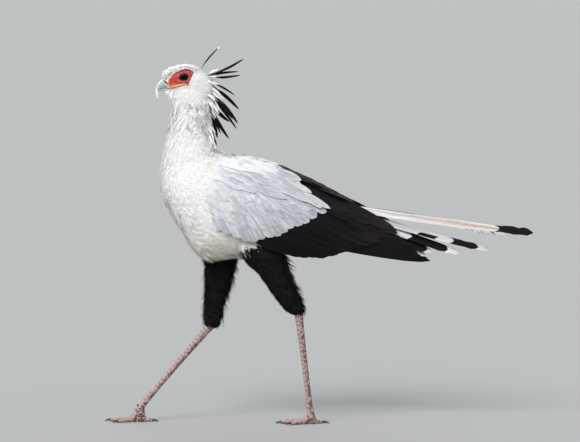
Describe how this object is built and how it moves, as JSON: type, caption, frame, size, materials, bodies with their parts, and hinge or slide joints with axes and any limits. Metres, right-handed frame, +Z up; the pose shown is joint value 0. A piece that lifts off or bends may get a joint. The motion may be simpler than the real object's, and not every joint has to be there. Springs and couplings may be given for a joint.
{
  "type": "secretary bird",
  "caption": "Life-size still model of a secretary bird in mid stride: long legs, folded wings, erect nape crest, hooked bill and long streamer tail.",
  "frame": {"origin": "on the floor, under the middle of the bird's overall box", "axes": "+Z up, the bill points along -X, the bird's left side faces -Y"},
  "size_m": [1.2234, 0.25, 1.0766],
  "materials": {
    "plumage_white": "soft matte feathers",
    "plumage_grey": "satin covert feathers",
    "plumage_black": "black feathers with a slight sheen",
    "tail_feathers": "pale grey and white vanes with black bands",
    "bill_horn": "smooth blue-grey horn with a yellowish cere",
    "face_skin": "bare wrinkled red-orange skin",
    "eye": "wet dark brown",
    "leg_skin": "pinkish scaled skin",
    "claw_horn": "dark horn"
  },
  "bodies": {
    "root": {"head": "plumage_white", "neck": "plumage_white", "torso": "plumage_white", "wing_left": "plumage_grey", "wing_right": "plumage_grey", "tail": "tail_feathers", "thigh_left": "plumage_black", "thigh_right": "plumage_black", "bill_upper": "bill_horn", "bill_lower": "bill_horn", "eye_left": "eye", "eye_right": "eye", "tarsus_left": "leg_skin", "tarsus_right": "leg_skin", "foot_left": "leg_skin", "foot_right": "leg_skin", "claw_left_inner": "claw_horn", "claw_left_middle": "claw_horn", "claw_left_outer": "claw_horn", "claw_left_hind": "claw_horn", "claw_right_inner": "claw_horn", "claw_right_middle": "claw_horn", "claw_right_outer": "claw_horn", "claw_right_hind": "claw_horn"}
  },
  "joints": []
}
